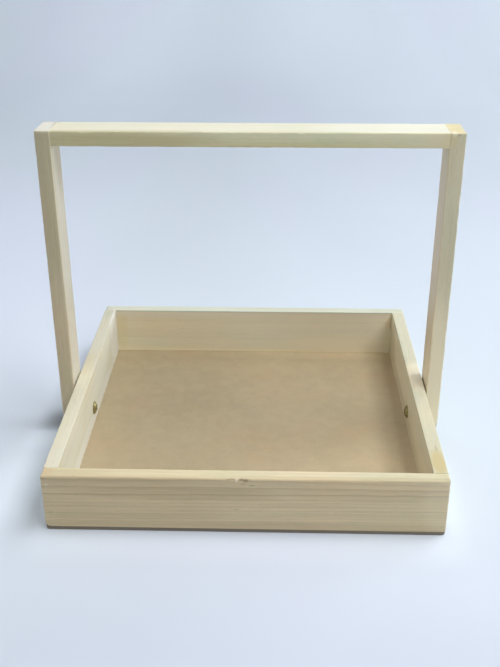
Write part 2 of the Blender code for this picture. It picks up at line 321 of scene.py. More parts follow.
class Plank:
    """A plank's surface. Each face is a grid over a and b, whose height falls to the rim in a
    quarter round. The rim joins both faces, and bores join them inside.

    The upper face is 1 and the lower face -1. A face's four eases are radii at its low and high
    ends along a, then along b. A corner in the plan is a radius, its sides and a core share."""

    def __init__(self, node, lay, step, ease, seed):
        low, high = (np.array(corner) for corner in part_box(node))
        self.lay = lay
        self.centre = (low + high) / 2
        self.half = abs(lay @ (high - low)) / 2
        self.step = step
        self.seed = seed
        self.eases = {1: [ease] * 4, -1: [ease] * 4}
        self.corners = []
        self.bores = []
        self.pits = []
        self.close_lines = ([], [])
        self.rim_darkens = False
        self.wear = 0.3
        self.ding_count = 7
        self.bow = 0.10 * MM
        self.shave = None

    def carry_on(self, low_a, high_a, low_b, high_b=0.0):
        """Carries the plank's sides on through a joint's glue line. Called before the features."""
        self.half[:2] += np.array([low_a + high_a, low_b + high_b]) / 2
        self.centre += np.array([high_a - low_a, high_b - low_b, 0]) / 2 @ self.lay

    def local(self, point):
        """A world point, in metres, in the plank's own frame."""
        return self.lay @ (np.array(point) - self.centre)

    def add_bore(self, point, radius):
        self.bores.append((self.local(point)[:2], radius))

    def add_pit(self, point, radius, depth, face):
        self.pits.append((self.local(point)[:2], radius, depth, face))

    def add_close_lines(self, axis, low, high, step):
        self.close_lines[axis].append(np.linspace(low, high, round((high - low) / step) + 1))

    def lines(self, axis):
        """Lines over one axis. Features that share a line set it once."""
        features = {}
        for centre, radius, *_ in self.bores + self.pits:
            features[round(centre[axis], 5)] = ring_lines(centre[axis], radius)
        extra = [*features.values(), *self.close_lines[axis]]
        return grid_lines(self.half[axis], self.step, extra)

    def sheet(self, face, a, b):
        """The points of one face in the plank's frame, and how near each one is to an edge."""
        half_a, half_b, half_t = self.half
        gaps = np.stack([half_a + a, half_a - a, half_b + b, half_b - b])
        gap = gaps.min(0)
        along = a + b
        worn = 1 + self.wear * wave(along, 37 * MM, self.seed + face)
        worn = worn + dings(along, half_a + half_b, self.seed + 10 + face, self.ding_count)
        eases = np.array(self.eases[face]).reshape(4, 1, 1) * worn
        t = eased(gap, nearest_ease(gaps, eases), half_t)
        if self.shave:
            t = np.minimum(t, self.shave(face, a, b, self.half))
        hollow = (1 + wave(a, 190 * MM, self.seed + 20 + face)) * (1 + wave(b, 70 * MM, self.seed + 25))
        t = t - self.bow * hollow / 4
        for centre, radius, depth, side in self.pits:
            inside = square_size(a - centre[0], b - centre[1]) < radius - WALL / 2
            t = t - (side == face) * depth * inside
        edge = 1 - np.clip(gap / EDGE_REACH, 0, 1)
        for radius, sides, core_share in self.corners:
            a, b = round_corner(a, b, self.half, radius, sides, core_share)
        for centre, radius, *_ in self.bores + self.pits:
            a, b = round_feature(a, b, centre, radius)
        return np.stack([a, b, face * t], -1).reshape(-1, 3), edge.reshape(-1)

    def surface(self):
        """World points, quads and edge closeness of the whole plank."""
        lines_a, lines_b = self.lines(0), self.lines(1)
        a, b = np.meshgrid(lines_a, lines_b, indexing="ij")
        rows, columns = a.shape
        count = rows * columns
        upper, upper_edge = self.sheet(1, a, b)
        lower, lower_edge = self.sheet(-1, a, b)
        index = np.arange(count).reshape(rows, columns)
        mid_a = (lines_a[1:] + lines_a[:-1]) / 2
        mid_b = (lines_b[1:] + lines_b[:-1]) / 2
        solid = np.ones((rows - 1, columns - 1), bool)
        loops = []
        for centre, radius in self.bores:
            i = abs(mid_a - centre[0]) < radius
            j = abs(mid_b - centre[1]) < radius
            solid[np.ix_(i, j)] = False
            block = index[np.flatnonzero(i)[0]:np.flatnonzero(i)[-1] + 2,
                          np.flatnonzero(j)[0]:np.flatnonzero(j)[-1] + 2]
            loops.append(block.reshape(-1)[border(*block.shape)])
        cells = grid_quads(rows, columns)[solid]
        quads = [cells, cells[:, ::-1] + count]
        points, edges = [upper, lower], [upper_edge, lower_edge]
        total = 2 * count
        rim = border(rows, columns)
        for loop, reverse in [(rim, False)] + [(loop, True) for loop in loops]:
            between = rows_between(upper[loop], lower[loop], RIM_ROWS)
            inner = total + np.arange(RIM_ROWS * len(loop)).reshape(RIM_ROWS, -1)
            quads.append(strips([loop, *inner, loop + count], reverse))
            points.append(between.reshape(-1, 3))
            edges.append(self.rim_edges(between, reverse))
            total += inner.size
        points, edges, quads = np.concatenate(points), np.concatenate(edges), np.concatenate(quads)
        used, quads = np.unique(quads, return_inverse=True)
        world = self.centre + points[used] @ self.lay
        return world, quads.reshape(-1, 4), edges[used]

    def rim_edges(self, between, bore):
        """How near the points of a rim are to an edge, where plan corners with a small radius count."""
        a, b, t = np.moveaxis(between, -1, 0)
        gap = self.half[2] - abs(t)
        if bore or self.rim_darkens:
            return np.full(gap.size, float(self.rim_darkens and not bore))
        round_end = any(radius > 2 * MM for radius, *_ in self.corners)
        corner = np.maximum(self.half[0] - abs(a), self.half[1] - abs(b))
        gap = gap if round_end else np.minimum(gap, corner)
        return (1 - np.clip(gap / EDGE_REACH, 0, 1)).reshape(-1)


def dent(points, centre, reach, depth, into):
    """Pushes points by a bell of their distance from a centre, measured in reaches. Sizes in mm."""
    away = (points - np.array(centre) * MM) / (np.array(reach) * MM)
    push = bell(np.linalg.norm(away, axis=1)) * depth * MM
    return points + push[:, None] * np.array(into, float)


def add_object(name, data):
    """An object that is linked to the scene."""
    obj = bpy.data.objects.new(name, data)
    bpy.context.scene.collection.objects.link(obj)
    return obj


def make_piece(name, points, faces, material, attributes=None):
    """A mesh object at the origin, shaded smooth but for its sharp corners."""
    mesh = bpy.data.meshes.new(name)
    mesh.from_pydata(points.tolist(), [], [list(face) for face in faces])
    mesh.validate()
    mesh.shade_smooth()
    mesh.set_sharp_from_angle(angle=SMOOTH_ANGLE)
    for key, values in (attributes or {}).items():
        mesh.attributes.new(key, "FLOAT", "POINT").data.foreach_set("value", values.astype(np.float32))
    mesh.materials.append(material)
    return add_object(name, mesh)


def dress(obj, body, node):
    """Puts a finished piece on its body and in its node's place."""
    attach(obj, body)
    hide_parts(node)


# Growth rings, worked out from the world places of a plank's points


def ring_distance(points, axis, pith, bend):
    """Distance from the pith, a line along one axis that bends away as the square of its length."""
    across = [i for i in range(3) if i != axis]
    away = points[:, across] - np.array(pith) * MM
    away[:, 1] = away[:, 1] - bend * points[:, axis] ** 2
    return np.linalg.norm(away, axis=1)


def plain_rings(points, axis, pith, width, bend, seed):
    """Ring number and strength: the distance from the pith in ring widths, which come and go."""
    distance = ring_distance(points, axis, pith, bend)
    number = distance / width + 0.45 * wave(distance, 19 * MM, seed)
    number = number + 0.12 * wave(points[:, axis], 140 * MM, seed + 1)
    return number, 0.6 + 0.4 * wave(distance, 23 * MM, seed + 2)


def front_rings(points):
    """Ring number and strength of the front board, whose lines are laid out by height.

    The lines rise to the right, and above one height they close up towards the right end. They
    are faint on the upper edge."""
    x, y, z = points.T
    rise = LINES_RISE * smooth_step((x - LINES_RISE_FROM) / (LINES_RISE_TO - LINES_RISE_FROM))
    level = z - rise - LINES_CURL * (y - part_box("front_board")[0].y) ** 2
    above = np.maximum(level - LINES_CLOSE_ABOVE, 0)
    share = np.clip((x - LINES_CLOSE_FROM) / LINES_CLOSE_OVER, 0, 1)
    level = level + above * LINES_CLOSE_SHARE * share ** 2
    level = level + 0.25 * MM * wave(x, 90 * MM, 3)
    heights, darks = np.array(FRONT_LINES).T
    number = np.interp(level, heights * MM, np.arange(len(heights)))
    nearest = np.clip(np.ceil(number - 0.1).astype(int), 0, len(darks) - 1)
    fade = 1 - LINES_FADE_SHARE * smooth_step((z - LINES_FADE_FROM) / LINES_FADE_OVER)
    return number, darks[nearest] * fade


# Shader trees


class Tree:
    """Adds nodes to a tree and wires them. A value is a number, a tuple or an output."""

    def __init__(self, tree):
        self.tree = tree
        self.column = 0

    def add(self, kind, values=None, **settings):
        node = self.tree.nodes.new("ShaderNode" + kind)
        node.location = (200 * self.column, -120 * (self.column % 5))
        self.column += 1
        for key, value in settings.items():
            setattr(node, key, value)
        for key, value in (values or {}).items():
            self.feed(node.inputs[key], value)
        return node

    def feed(self, socket, value):
        if isinstance(value, bpy.types.NodeSocket):
            self.tree.links.new(value, socket)
        else:
            socket.default_value = value

    def place(self):
        return self.add("TexCoord").outputs["Object"]

    def attribute(self, name):
        return self.add("Attribute", attribute_name=name).outputs["Fac"]

    def math(self, operation, *values):
        return self.add("Math", dict(enumerate(values)), operation=operation).outputs[0]

    def vector(self, operation, *values):
        return self.add("VectorMath", dict(enumerate(values)), operation=operation).outputs[0]

    def measure(self, operation, *values):
        """A number from vectors, such as a length."""
        return self.add("VectorMath", dict(enumerate(values)), operation=operation).outputs["Value"]

    def scaled(self, vector, factor):
        return self.add("VectorMath", {0: vector, "Scale": factor}, operation="SCALE").outputs[0]

    def product(self, first, *others):
        for value in others:
            first = self.math("MULTIPLY", first, value)
        return first

    def ramp(self, value, low, high, to_low=0.0, to_high=1.0):
        """A smooth step from one pair of values to another."""
        values = {"Value": value, "From Min": low, "From Max": high, "To Min": to_low, "To Max": to_high}
        return self.add("MapRange", values, interpolation_type="SMOOTHSTEP").outputs[0]

    def about_one(self, value, low, high, spread):
        """A smooth step from one less a spread to one and the spread."""
        return self.ramp(value, low, high, 1 - spread, 1 + spread)

    def zones(self, total, place, zones):
        """A number with zones added: each one's own number times its slopes over X and Y."""
        split = self.add("SeparateXYZ", {"Vector": place}).outputs
        for amount, *slopes in zones:
            for axis, start, full in slopes:
                amount = self.math("MULTIPLY", amount, self.ramp(split[axis], start, full))
            total = self.math("ADD", total, amount)
        return total

    def mix(self, share, first, second, blend="MIX"):
        values = {"Factor": share, 6: first, 7: second}
        return self.add("Mix", values, data_type="RGBA", blend_type=blend).outputs[2]

    def noise(self, place, stretch=None, scale=1.0, detail=2.0, roughness=0.5):
        """Noise of a place that is first stretched, by one factor for each axis."""
        if stretch:
            place = self.vector("MULTIPLY", place, stretch)
        values = {"Vector": place, "Scale": scale, "Detail": detail, "Roughness": roughness}
        return self.add("TexNoise", values, noise_dimensions="3D").outputs[0]

    def bump(self, height, distance, strength):
        values = {"Height": height, "Distance": distance, "Strength": strength}
        return self.add("Bump", values).outputs[0]

    def group(self, name, **values):
        return self.add("Group", values, node_tree=bpy.data.node_groups[name]).outputs


def growth_rings(tree, given):
    """Late wood as a saw tooth of the ring number: it darkens slowly and ends at once."""
    slow = tree.noise(given["Place"], (9, 120, 120), detail=3)
    fine = tree.noise(given["Place"], (45, 900, 900))
    shift = tree.math("SUBTRACT", tree.math("MULTIPLY_ADD", fine, 0.5, slow), 0.75)
    number = tree.math("MULTIPLY_ADD", shift, RING_WAVER, given["Ring"])
    part = tree.math("FRACT", number)
    body = tree.product(tree.math("POWER", part, 1.4), 0.16)
    fall = tree.ramp(part, 0.965, 1.0, 1.0, 0.0)
    late = tree.math("MULTIPLY_ADD", tree.math("POWER", part, 4.5), fall, body)
    patchy = tree.ramp(slow, 0.3, 0.7, 0.7, 1.0)
    whole = tree.math("FLOOR", number)
    tone = tree.add("TexWhiteNoise", {"W": whole}, noise_dimensions="1D").outputs[0]
    return {"Late Wood": tree.product(late, patchy, given["Strength"]), "Ring Tone": tone}


def wood_fibres(tree, given):
    """Streaks along the grain at three widths, with short dark resin canals."""
    dash = tree.noise(given["Place"], (140, 2100, 2100), detail=0)
    return {
        "Fibre": tree.noise(given["Place"], (55, 1700, 1700)),
        "Streak": tree.noise(given["Place"], (7, 330, 330), detail=3),
        "Broad": tree.noise(given["Place"], (4, 75, 75)),
        "Canal": tree.ramp(dash, 0.70, 0.78),
    }


def tint_clouds(tree, given):
    """Two soft masks of unlike places, for warm and cool drifts of a colour."""
    place = tree.scaled(given["Place"], tree.math("DIVIDE", 1.0, given["Size"]))
    aside = tree.vector("ADD", place, (7.3, 2.9, 5.1))
    warm, cool = (tree.ramp(tree.noise(each, detail=3), 0.42, 0.68) for each in (place, aside))
    return {"Warm": warm, "Cool": cool}


def soft_spot(tree, given):
    """A soft ragged spot: the distance from a centre in reaches, with noise on its rim."""
    away = tree.vector("SUBTRACT", given["Place"], given["Centre"])
    away = tree.vector("DIVIDE", away, given["Reach"])
    rag = tree.math("SUBTRACT", tree.noise(away, scale=1.9, detail=4, roughness=0.65), 0.5)
    distance = tree.math("MULTIPLY_ADD", rag, SPOT_RAG, tree.measure("LENGTH", away))
    return {"Mask": tree.ramp(distance, 1.15, 0.45)}


def edge_wear(tree, given):
    """Worn edges: how near an edge is, broken up by noise."""
    noise = tree.noise(given["Place"], scale=260, detail=4, roughness=0.6)
    near = tree.math("MULTIPLY_ADD", tree.math("SUBTRACT", noise, 0.5), 0.35, given["Edge"])
    return {"Worn": tree.ramp(near, tree.math("SUBTRACT", 1.0, given["Width"]), 1.0)}


def plated_metal(tree, given):
    """Dull plating: soft clouds of tone, with fine scratches in three directions."""
    scratch = 0.0
    for stretch in ((300, 9000, 9000), (9000, 300, 9000), (9000, 9000, 300)):
        line = tree.ramp(tree.noise(given["Place"], stretch, detail=1), 0.62, 0.72)
        scratch = tree.math("MAXIMUM", scratch, line)
    return {"Cloud": tree.noise(given["Place"], scale=700, detail=4), "Scratch": scratch}


# Each shader group's inputs, after the function that wires it
ORIGIN = (0, 0, 0)
GROUPS = (
    (growth_rings, {"Ring": 0.0, "Strength": 1.0, "Place": ORIGIN}),
    (wood_fibres, {"Place": ORIGIN}),
    (tint_clouds, {"Place": ORIGIN, "Size": 0.04}),
    (soft_spot, {"Place": ORIGIN, "Centre": ORIGIN, "Reach": (0.01, 0.01, 0.01)}),
    (edge_wear, {"Edge": 0.0, "Place": ORIGIN, "Width": 0.5}),
    (plated_metal, {"Place": ORIGIN}),
)


def make_group(wire, inputs):
    """A shader group that is named after the function that wires it. Its outputs are numbers."""
    group = bpy.data.node_groups.new(wire.__name__, "ShaderNodeTree")
    for label, default in inputs.items():
        kind = "NodeSocketVector" if isinstance(default, tuple) else "NodeSocketFloat"
        socket = group.interface.new_socket(label, in_out="INPUT", socket_type=kind)
        socket.default_value = default
    start = group.nodes.new("NodeGroupInput")
    start.location = (-300, 0)
    tree = Tree(group)
    results = wire(tree, start.outputs)
    for label in results:
        group.interface.new_socket(label, in_out="OUTPUT", socket_type="NodeSocketFloat")
    end = group.nodes.new("NodeGroupOutput")
    end.location = (3000, 0)
    for label, value in results.items():
        tree.feed(end.inputs[label], value)


def empty_tree(owner):
    """The tree helper of a material or a world, whose nodes are cleared first."""
    owner.use_nodes = True
    owner.node_tree.nodes.clear()
    return Tree(owner.node_tree)


def new_material(name):
    """A material and its tree helper. The first one makes the groups."""
    if growth_rings.__name__ not in bpy.data.node_groups:
        for wire, inputs in GROUPS:
            make_group(wire, inputs)
    material = bpy.data.materials.new(name)
    return material, empty_tree(material)


def finish(material, tree, values):
    """Ends a material's tree with a Principled BSDF that has the given inputs."""
    shader = tree.add("BsdfPrincipled", values)
    tree.add("OutputMaterial", {"Surface": shader.outputs[0]})
    return material


def opaque(colour, factors=(1, 1, 1)):
    """A colour whose channels are scaled and that covers all under it."""
    return (*(c * k for c, k in zip(colour, factors)), 1.0)


def spot_mask(tree, place, spots):
    """The largest of several soft spots. Each is a centre and a reach in mm, and a strength."""
    mask = 0.0
    for centre, reach, strength in spots:
        centre, reach = [v * MM for v in centre], [v * MM for v in reach]
        spot = tree.group("soft_spot", Place=place, Centre=centre, Reach=reach)["Mask"]
        mask = tree.math("MAXIMUM", mask, tree.product(spot, strength))
    return mask


def wood(name, turn, early, late, look, spots):
    """Sanded softwood. Its rings come from the plank's own numbers, its fibres from its place."""
    material, tree = new_material(name)
    early = opaque(early, look["tint"])
    place = tree.place()
    grain = tree.add("Mapping", {"Vector": place, "Rotation": turn, "Location": look["shift"]}).outputs[0]
    rings = tree.group("growth_rings", Ring=tree.attribute("ring"), Place=grain,
                       Strength=tree.attribute("ring_strength"))
    fibres = tree.group("wood_fibres", Place=grain)
    drift = tree.vector("MULTIPLY", grain, (0.45, 1, 1))
    clouds = tree.group("tint_clouds", Place=drift, Size=0.05)
    colour = tree.mix(tree.product(clouds["Warm"], look["warm"]), early,
                      opaque(early, (1.03, 0.95, 0.86)))
    colour = tree.mix(tree.product(clouds["Cool"], look["cool"]), colour,
                      opaque(early, (0.93, 0.985, 0.98)))
    late_share = tree.math("MINIMUM", tree.product(rings["Late Wood"], look["late"]), 1.0)
    colour = tree.mix(late_share, colour, opaque(late))
    colour = tree.scaled(colour, tree.product(
        tree.about_one(fibres["Fibre"], 0.25, 0.75, look["fibre"]),
        tree.about_one(fibres["Streak"], 0.3, 0.7, look["streak"]),
        tree.about_one(fibres["Broad"], 0.3, 0.7, look["broad"]),
        tree.about_one(rings["Ring Tone"], 0.0, 1.0, look["tone"]),
        tree.ramp(fibres["Canal"], 0.0, 1.0, 1.0, 0.90)))
    normal = tree.vector("MULTIPLY", tree.add("TexCoord").outputs["Normal"], look["end_axis"])
    end = tree.ramp(tree.measure("LENGTH", normal), 0.75, 0.95)
    colour = tree.mix(end, colour, opaque(look["end_colour"]), "MULTIPLY")
    pale = opaque([min(1, c * 1.12) for c in early])
    worn = tree.group("edge_wear", Edge=tree.attribute("edge"), Place=place)["Worn"]
    colour = tree.mix(tree.product(worn, look["worn"]), colour, pale)
    # Marks of the wood, and painted light and shade, one kind after another
    for kind, tint, blend in MARKS_AND_PAINTED_LIGHT:
        if kind in spots:
            colour = tree.mix(spot_mask(tree, place, spots[kind]), colour, opaque(tint), blend)
    rough = tree.ramp(fibres["Fibre"], 0.3, 0.7, 0.43, 0.57)
    rough = tree.math("MULTIPLY_ADD", end, 0.15, rough)
    height = tree.math("ADD", rings["Late Wood"], fibres["Fibre"])
    height = tree.product(tree.math("SUBTRACT", height, fibres["Canal"]), 0.5)
    return finish(material, tree, {"Base Color": colour, "Roughness": rough, "Specular IOR Level": 0.4,
                                   "Normal": tree.bump(height, 0.06 * MM, 0.8)})


def hardboard(name, colour, fleck):
    """Smooth pressed fibre: mottled at two scales, with fine light and dark flecks, and painted shade and
    light in zones.
    """
    material, tree = new_material(name)
    place = tree.place()
    large = tree.group("tint_clouds", Place=place, Size=0.06)
    small = tree.group("tint_clouds", Place=place, Size=0.011)
    tint = opaque(colour)
    for mask, share, factors in ((large["Warm"], 0.8, (1.04, 0.96, 0.92)),
                                 (large["Cool"], 0.8, (0.93, 0.95, 0.93)),
                                 (small["Warm"], 0.5, (0.92, 0.92, 0.92)),
                                 (small["Cool"], 0.5, (1.05, 1.07, 1.04))):
        tint = tree.mix(tree.product(mask, share), tint, opaque(colour, factors))
    fluff = tree.noise(place, scale=900, detail=5, roughness=0.7)
    tint = tree.scaled(tint, tree.about_one(fluff, 0.3, 0.7, 0.05))
    # Painted shade and light: darker towards the back, paler along the boards and towards the right front
    for zones in FLOOR_PAINTED_LIGHT_AND_SHADE:
        tint = tree.scaled(tint, tree.zones(1.0, place, zones))
    fibres = tree.noise(place, (520, 1100, 900), detail=3)
    tint = tree.mix(tree.ramp(fibres, 0.66, 0.76, 0.0, 0.4), tint, opaque(fleck))
    other = tree.noise(place, (1000, 480, 900), detail=3)
    tint = tree.mix(tree.ramp(other, 0.68, 0.78, 0.0, 0.35), tint, opaque(colour, (1.25, 1.25, 1.25)))
    # Darker over the rim and close to the edges
    worn = tree.group("edge_wear", Edge=tree.attribute("edge"), Place=place, Width=0.35)["Worn"]
    tint = tree.mix(tree.product(worn, 0.9), tint, opaque(colour, (0.44, 0.47, 0.58)))
    rough = tree.ramp(fluff, 0.3, 0.7, 0.52, 0.66)
    height = tree.math("MULTIPLY_ADD", fluff, 0.6, tree.product(fibres, 0.4))
    return finish(material, tree, {"Base Color": tint, "Roughness": rough, "Specular IOR Level": 0.35,
                                   "Normal": tree.bump(height, 0.05 * MM, 0.6)})


def metal(name, colour, dull, rough):
    """Plated or plain steel with clouded tone and fine scratches."""
    material, tree = new_material(name)
    grain = tree.group("plated_metal", Place=tree.place())
    tint = tree.mix(tree.ramp(grain["Cloud"], 0.35, 0.65), opaque(colour), opaque(dull))
    bright = opaque([min(1, c * 1.4) for c in colour])
    tint = tree.mix(tree.product(grain["Scratch"], 0.3), tint, bright)
    rough = tree.ramp(grain["Cloud"], 0.3, 0.7, rough - 0.06, rough + 0.10)
    rough = tree.math("MULTIPLY_ADD", grain["Scratch"], 0.08, rough)
    return finish(material, tree, {"Base Color": tint, "Metallic": 1.0, "Roughness": rough,
                                   "Normal": tree.bump(grain["Scratch"], 0.01 * MM, 0.4)})


def paper(name, colour):
    """Matt paper with slow drifts of tone and tint, and painted light and shade in its zones."""
    material, tree = new_material(name)
    place = tree.place()
    drift = tree.noise(place, (1.6, 0.8, 0.8))
    lilac = tree.noise(place, (2.6, 1.3, 2.6), detail=3)
    tint = tree.mix(tree.ramp(lilac, 0.42, 0.66, 0.0, 0.8), opaque(colour),
                    opaque(colour, (0.98, 0.955, 1.0)))
    # Slow drifts of tone, with painted light and shade in zones
    tone = tree.zones(tree.about_one(drift, 0.3, 0.7, 0.04), place, PAPER_PAINTED_LIGHT_AND_SHADE)
    rough = tree.ramp(drift, 0.3, 0.7, 0.85, 0.95)
    return finish(material, tree, {"Base Color": tree.scaled(tint, tone), "Roughness": rough,
                                   "Specular IOR Level": 0.2})


# Turned and threaded hardware


def ring_grid(radii, heights, angles):
    """Rings of points about +Z, from columns of radii and heights and a row of angles."""
    x, y = radii * np.cos(angles), radii * np.sin(angles)
    return np.stack(np.broadcast_arrays(x, y, heights), -1)


def closed_rings(points):
    """Quads of a grid of rings that closes round its axis and from its last ring to its first."""
    rings, sides = points.shape[:2]
    index = np.arange(rings * sides).reshape(rings, sides)
    return points.reshape(-1, 3), strips([*index, index[0]], reverse=True)


def washer_points(inner, outer, height, ease):
    """Rings along a rectangle whose corners are quarter rounds, and the quads between them."""
    turn = np.linspace(0, np.pi / 2, 5)
    corners = ((inner + ease, ease, np.pi), (outer - ease, ease, 1.5 * np.pi),
               (outer - ease, height - ease, 0), (inner + ease, height - ease, 0.5 * np.pi))
    radii = np.concatenate([r + ease * np.cos(start + turn) for r, _, start in corners])
    heights = np.concatenate([z + ease * np.sin(start + turn) for _, z, start in corners])
    angles = 2 * np.pi * np.arange(ROUND_SIDES) / ROUND_SIDES
    return closed_rings(ring_grid(radii[:, None], heights[:, None], angles))


def stand_on_axle(points, side, x, height):
    """Turns points that stand along +Z to point outwards along X on the left (-1) or right (1)."""
    flat = points.reshape(-1, 3)
    return np.stack([side * (x + flat[:, 2]), side * flat[:, 1], height + flat[:, 0]], -1)


def screw_points(look, length):
    """A low domed head with a cross recess, on a shank with a thread.

    The head is a square grid drawn out to a circle at its rim. Below it each ring keeps the
    rim's angles, and the shank's radius falls by the thread's depth with a power of the cosine
    of height less turn. Towards the point both shrink in a straight line."""
    half = look.recess_width / 2
    wall = RECESS_WALL
    reach = look.recess_span / 2
    inner = np.concatenate([np.linspace(0, half - wall, 3), np.linspace(half, reach - wall, 7),
                            np.linspace(reach, look.head_radius, 9)])
    lines = np.concatenate([-inner[:0:-1], inner])
    u, v = np.meshgrid(lines, lines, indexing="ij")
    narrow, wide = np.minimum(abs(u), abs(v)), square_size(u, v)
    arm = (1 - smooth_step((narrow - half + wall) / wall)) * (1 - smooth_step((wide - reach + wall) / wall))
    depth = look.recess_depth * (1 - RECESS_RISE * np.clip(wide / reach, 0, 1) ** 2)
    x, y = to_circles(u, v, smooth_step((wide - reach) / (HEAD_FADE * (look.head_radius - reach))))
    dome = look.head_height - look.head_rim
    big = (look.head_radius ** 2 + dome ** 2) / (2 * dome)
    from_axis = np.minimum(np.hypot(x, y), look.head_radius)
    top = np.sqrt(big ** 2 - from_axis ** 2) - (big - look.head_height)
    sheet = np.stack([x, y, arm * depth - top], -1).reshape(-1, 3)
    rows, columns = u.shape
    cells = grid_quads(rows, columns)
    rim = border(rows, columns)
    angles = np.arctan2(sheet[rim, 1], sheet[rim, 0])
    turns = math.ceil(length / look.pitch)
    z = np.linspace(0, length, turns * THREAD_ROWS_PER_TURN)
    valley = 0.5 + 0.5 * np.cos(2 * np.pi * z[:, None] / look.pitch - angles[None])
    valley = np.sqrt(valley) * smooth_step(z / look.pitch)[:, None]
    point = np.clip((length - z) / look.point_length, 0, 1)[:, None]
    shank = look.shank_radius - look.thread_depth * valley
    shank = look.point_radius + (shank - look.point_radius) * point
    head = np.full((2, len(angles)), look.head_radius)
    radii = np.concatenate([head, shank])
    heights = np.concatenate([[-0.5 * look.head_rim, 0], z])
    rings = ring_grid(radii, heights[:, None], angles)
    more = rows * columns + np.arange(radii.size).reshape(radii.shape)
    points = np.concatenate([sheet, rings.reshape(-1, 3)])
    faces = [*cells.reshape(-1, 4)[:, ::-1].tolist(), *strips([rim, *more], reverse=True).tolist(),
             more[-1].tolist()]
    return points, faces


# Settings that a user would change


def length(name, default, description):
    return FloatProperty(name=name, default=default, description=description, subtype="DISTANCE",
                         unit="LENGTH", precision=5)


def colour(name, default, description):
    return FloatVectorProperty(name=name, default=default, description=description, subtype="COLOR",
                               size=3, min=0.0, max=1.0)


def angle(name, degrees, description):
    return FloatProperty(name=name, default=math.radians(degrees), description=description,
                         subtype="ANGLE")


class TrayWoodSettings(PropertyGroup):
    """Colours and sanding of the boards and the handle."""
    early: colour("Board Wood", (0.74, 0.68, 0.52), "Colour of the boards between growth lines")
    late: colour("Board Lines", (0.42, 0.31, 0.18), "Colour of the boards' growth lines")
    handle_early: colour("Handle Wood", (0.745, 0.715, 0.56), "Colour of the handle's wood")
    handle_late: colour("Handle Lines", (0.48, 0.39, 0.22), "Colour of the handle's growth lines")
    board_ease: length("Board Ease", 0.7 * MM, "Radius of the boards' sanded edges")
    joint_ease: length("Joint Ease", 0.1 * MM, "Radius of edges that butt against another piece")
    leg_ease: length("Handle Ease", 0.8 * MM, "Radius of the handle's sanded edges")
    ring_width: length("Ring Width", 3.4 * MM, "Mean width of a growth ring")


class TrayPanelSettings(PropertyGroup):
    """Colours and edges of the hardboard floor."""
    face: colour("Floor", (0.457, 0.372, 0.238), "Colour of the hardboard")
    fleck: colour("Fleck", (0.20, 0.14, 0.08), "Colour of its dark fibres")
    ease: length("Panel Ease", 0.3 * MM, "Radius of the panel's edges")
    corner: length("Panel Corner", 3.0 * MM, "Radius of the panel's corners")


class TrayHardwareSettings(PropertyGroup):
    """Sizes and colours of the pivot screws, washers and nails."""
    zinc: colour("Yellow Zinc", (0.43, 0.39, 0.20), "Colour of the plated screws and washers")
    zinc_dull: colour("Dull Zinc", (0.27, 0.25, 0.12), "Colour of the plating where it is dull")
    steel: colour("Steel", (0.42, 0.41, 0.39), "Colour of the nails")
    head_radius: length("Head Radius", 5.75 * MM, "Radius of the screw's head")
    head_height: length("Head Height", 2.8 * MM, "Height of the screw's head")
    head_rim: length("Head Rim", 0.5 * MM, "Height of the head's upright rim")
    shank_radius: length("Shank Radius", 3.0 * MM, "Radius over the screw's thread")
    pitch: length("Thread Pitch", 2.6 * MM, "Rise of the thread in one turn")
    thread_depth: length("Thread Depth", 0.95 * MM, "Depth of the thread")
    point_length: length("Point Length", 5.0 * MM, "Length of the screw's point")
    point_radius: length("Point Radius", 0.5 * MM, "Radius at the screw's tip")
    recess_span: length("Recess Span", 5.4 * MM, "Span of the cross recess")
    recess_width: length("Recess Width", 1.3 * MM, "Width of the recess's arms")
    recess_depth: length("Recess Depth", 1.9 * MM, "Depth of the recess")
    bore_clearance: length("Bore Clearance", 0.3 * MM, "Gap between the shank and the wood")
    tack_head: length("Tack Head", 1.6 * MM, "Radius of the seats of the tacks' heads")


class TrayStageSettings(PropertyGroup):
    """Colours and light of the studio."""
    paper: colour("Paper", (0.665, 0.746, 0.841), "Colour of the floor and the backdrop")
    level: FloatProperty(name="Light", default=1.0, min=0.0, description="Scales every lamp")
    left_sky: colour("Left Light", (0.885, 0.83, 0.785), "Light from all round that comes from the left")
    beyond: colour("Beyond", (0.38, 0.43, 0.49), "What the camera sees past the edges of the paper")


class TrayCameraSettings(PropertyGroup):
    """Where the camera stands, which way it looks and how long its lens is."""
    place: FloatVectorProperty(name="Place", default=(19.27 * MM, -710.58 * MM, 444.61 * MM), size=3,
                               subtype="TRANSLATION", unit="LENGTH", description="Place of the camera")
    tilt: angle("Tilt", 26.3597, "Angle below the horizon")
    heading: angle("Heading", -1.5429, "Angle to the right of straight back")
    roll: angle("Roll", -0.0662, "Turn about the line of sight")
    lens: FloatProperty(name="Lens", default=50.27, description="Focal length in millimetres")


class TraySettings(PropertyGroup):
    """All the settings of the tray and its studio."""
    wood: PointerProperty(type=TrayWoodSettings)
    panel: PointerProperty(type=TrayPanelSettings)
    hardware: PointerProperty(type=TrayHardwareSettings)
    stage: PointerProperty(type=TrayStageSettings)
    camera: PointerProperty(type=TrayCameraSettings)


def settings():
    return bpy.context.scene.pine_tray
